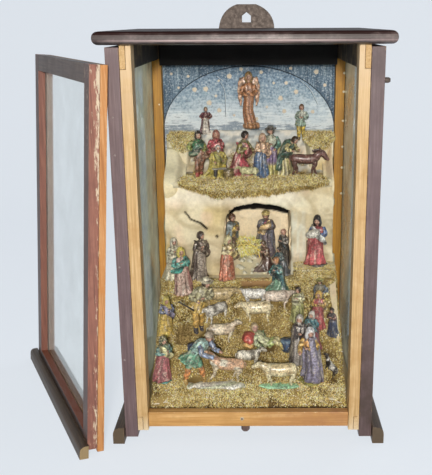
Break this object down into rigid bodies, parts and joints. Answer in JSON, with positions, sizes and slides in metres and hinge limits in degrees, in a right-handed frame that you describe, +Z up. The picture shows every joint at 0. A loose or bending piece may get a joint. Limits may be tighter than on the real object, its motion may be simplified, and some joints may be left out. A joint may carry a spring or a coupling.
{
  "type": "box nativity scene",
  "caption": "Upright wooden case, glazed at the sides, holding a rock landscape with a grotto, small painted figures and animals, with a lift-off glazed front standing beside it.",
  "frame": {"origin": "middle of the floor board's underside, level with the foot of the posts", "axes": "+Z up, +X to the right as seen from the open front, +Y to the back"},
  "size_m": [0.5655, 0.3691, 0.5853],
  "materials": {
    "painted_wood": "worn oil paint",
    "raw_wood": "planed, unpainted",
    "aged_wood": "planed, darkened with age",
    "roof_wood": "dark varnish",
    "front_wood": "red-brown paint, worn at the edges",
    "dark_wood": "dark stain",
    "iron": "hand-cut sheet, dull",
    "glass": "clear sheet",
    "sky_card": "distemper paint",
    "plaster": "crumpled paper, sized and painted",
    "meadow": "covered with dry moss",
    "figure": "modelled and painted"
  },
  "bodies": {
    "case": {"left_outer_front_stile": "painted_wood", "left_outer_rear_stile": "painted_wood", "left_outer_bottom_rail": "painted_wood", "left_outer_top_rail": "painted_wood", "left_inner_front_stile": "raw_wood", "left_inner_rear_stile": "aged_wood", "left_inner_bottom_rail": "raw_wood", "left_inner_top_rail": "raw_wood", "left_side_glass": "glass", "left_base_moulding": "dark_wood", "right_outer_front_stile": "painted_wood", "right_outer_rear_stile": "painted_wood", "right_outer_bottom_rail": "painted_wood", "right_outer_top_rail": "painted_wood", "right_inner_front_stile": "raw_wood", "right_inner_rear_stile": "aged_wood", "right_inner_bottom_rail": "raw_wood", "right_inner_top_rail": "raw_wood", "right_side_glass": "glass", "right_base_moulding": "dark_wood", "roof_board": "roof_wood", "rear_batten": "dark_wood", "hanger_plate": "iron", "hanger_screw_left": "iron", "hanger_screw_right": "iron", "back_board": "sky_card", "sky_arch": "sky_card", "floor_board": "raw_wood", "front_sill": "raw_wood", "front_peg": "dark_wood", "catch_pin": "iron", "meadow_slope": "meadow", "grotto_floor": "plaster", "rock_face": "plaster", "grotto_vault": "plaster", "grotto_back": "plaster", "terrace_deck": "plaster", "rear_hill": "plaster", "manger": "aged_wood", "angel": "figure", "tall_woman": "figure", "kerchief_woman": "figure", "bending_man": "figure", "reclining_shepherd": "figure", "large_sheep": "figure", "cloaked_man": "figure", "turban_man": "figure", "lamb_bearer": "figure", "green_jacket_man": "figure", "donkey": "figure"},
    "front": {"front_painted_left_stile": "front_wood", "front_painted_right_stile": "front_wood", "front_painted_top_rail": "front_wood", "front_painted_bottom_rail": "front_wood", "front_raw_left_stile": "raw_wood", "front_raw_right_stile": "raw_wood", "front_raw_top_rail": "raw_wood", "front_raw_bottom_rail": "raw_wood", "front_glass": "glass", "front_base_moulding": "dark_wood"}
  },
  "joints": [
    {"name": "front_aside", "type": "slide", "parent": "case", "child": "front", "axis": [-0.8988, -0.4384, 0], "range_m": [0, 0.12]}
  ]
}
